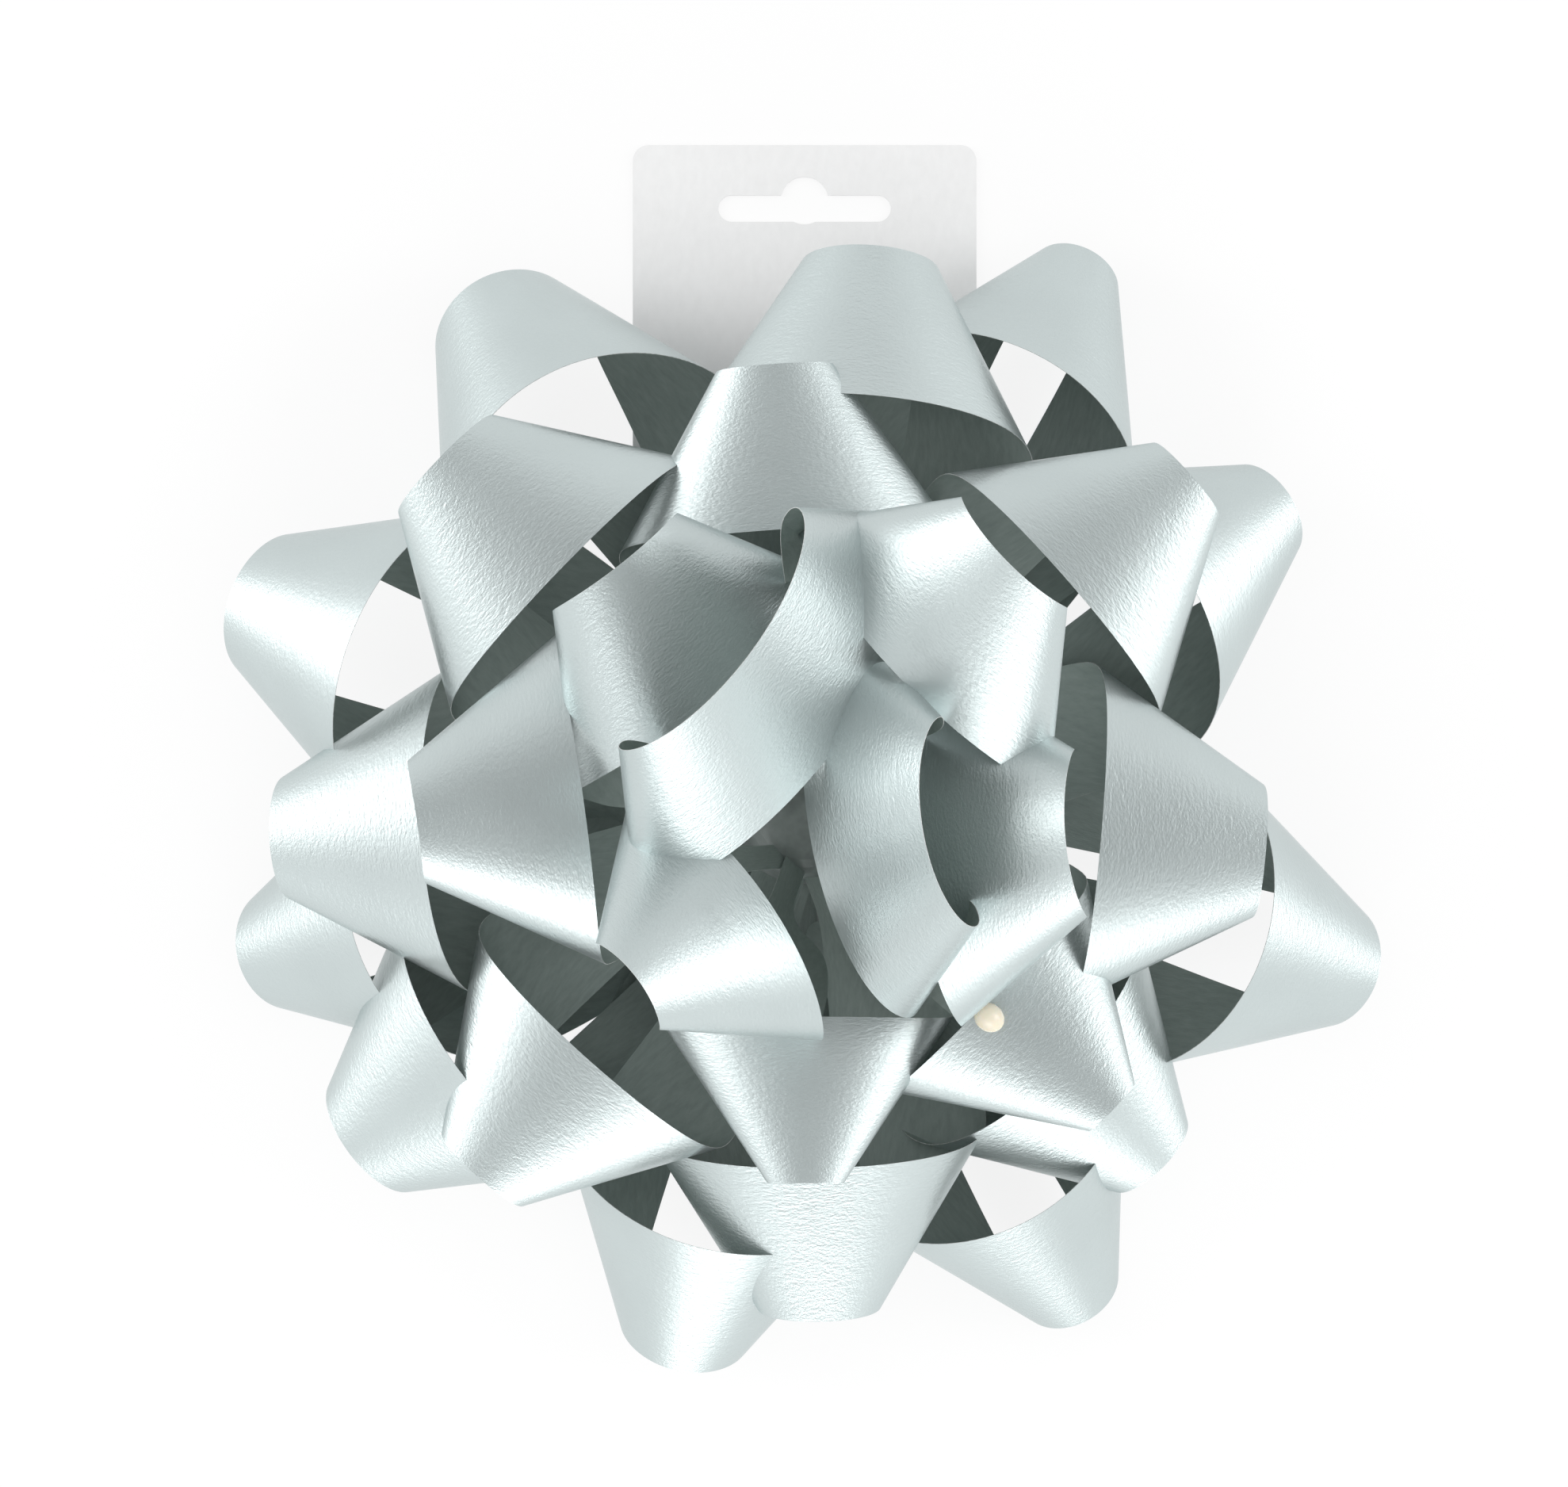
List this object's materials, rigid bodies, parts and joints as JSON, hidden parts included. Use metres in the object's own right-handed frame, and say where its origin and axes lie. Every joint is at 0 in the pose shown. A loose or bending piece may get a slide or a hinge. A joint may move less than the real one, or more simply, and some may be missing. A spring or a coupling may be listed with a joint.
{
  "type": "gift bow",
  "caption": "Star gift bow of satin silver ribbon: cone-shaped loops in tiers round a glued core, stuck to a flat hang card with a hang slot.",
  "frame": {"origin": "on the bow's axis at the back face of the hang card", "axes": "+Z along the bow's axis, out of the card; +Y towards the hang slot"},
  "size_m": [0.2149, 0.2301, 0.1035],
  "materials": {
    "ribbon": "satin metallised face, dull grey-green back",
    "card": "smooth white",
    "foam": "soft foam",
    "disc": "matt",
    "glue": "waxy"
  },
  "bodies": {
    "hang_card": {"header_card": "card"},
    "bow": {"foam_pad": "foam", "backing_disc": "disc", "glue_core": "glue", "glue_bead": "glue", "outer_loop_1": "ribbon", "outer_loop_2": "ribbon", "outer_loop_3": "ribbon", "outer_loop_4": "ribbon", "outer_loop_5": "ribbon", "outer_loop_6": "ribbon", "outer_loop_7": "ribbon", "outer_loop_8": "ribbon", "outer_loop_9": "ribbon", "outer_loop_10": "ribbon", "outer_loop_11": "ribbon", "middle_loop_1": "ribbon", "middle_loop_2": "ribbon", "middle_loop_3": "ribbon", "middle_loop_4": "ribbon", "middle_loop_5": "ribbon", "middle_loop_6": "ribbon", "middle_loop_7": "ribbon", "middle_loop_8": "ribbon", "middle_loop_9": "ribbon", "middle_loop_10": "ribbon", "inner_loop_1": "ribbon", "inner_loop_2": "ribbon", "inner_loop_3": "ribbon", "inner_loop_4": "ribbon", "inner_loop_5": "ribbon", "inner_loop_6": "ribbon"}
  },
  "joints": [
    {"name": "bow_lift", "type": "slide", "parent": "hang_card", "child": "bow", "axis": [0, 0, 1], "range_m": [0, 0.06]}
  ]
}
